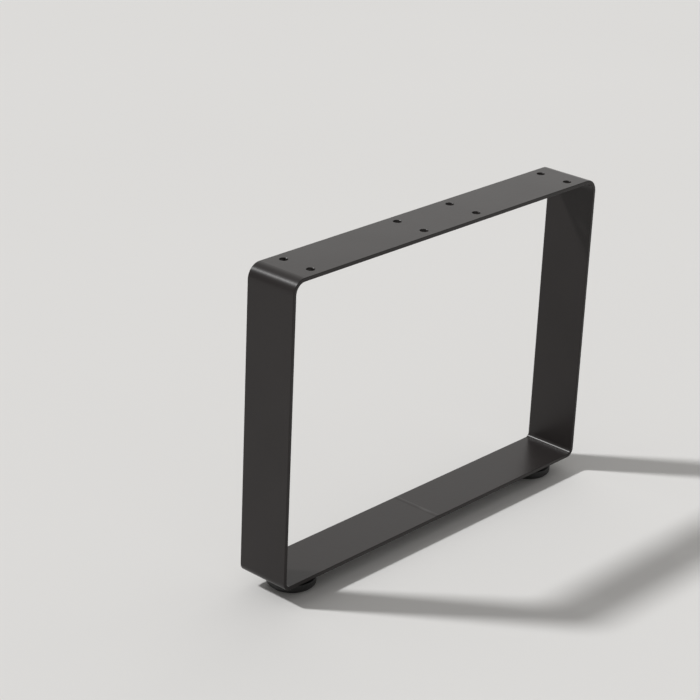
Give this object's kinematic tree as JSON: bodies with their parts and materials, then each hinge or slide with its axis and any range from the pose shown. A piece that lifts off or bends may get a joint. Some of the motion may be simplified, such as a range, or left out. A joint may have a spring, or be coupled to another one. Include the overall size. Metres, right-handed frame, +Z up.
{
  "type": "table leg",
  "caption": "Low table leg: a flat metal bar bent into a closed rectangle, with screw holes along the top run and round screw-on feet under the bottom run.",
  "frame": {"origin": "on the floor under the middle of the leg, in the plane of the soles", "axes": "+X along the leg's length, +Y across the bar's width, +Z up"},
  "size_m": [0.46, 0.06, 0.34],
  "materials": {
    "coated_bar": "satin black powder coat on steel",
    "stud_steel": "bright zinc plate",
    "foot_plastic": "moulded black plastic"
  },
  "bodies": {
    "root": {"frame": "coated_bar", "stud_left": "stud_steel", "stud_right": "stud_steel", "foot_left": "foot_plastic", "foot_right": "foot_plastic"}
  },
  "joints": []
}
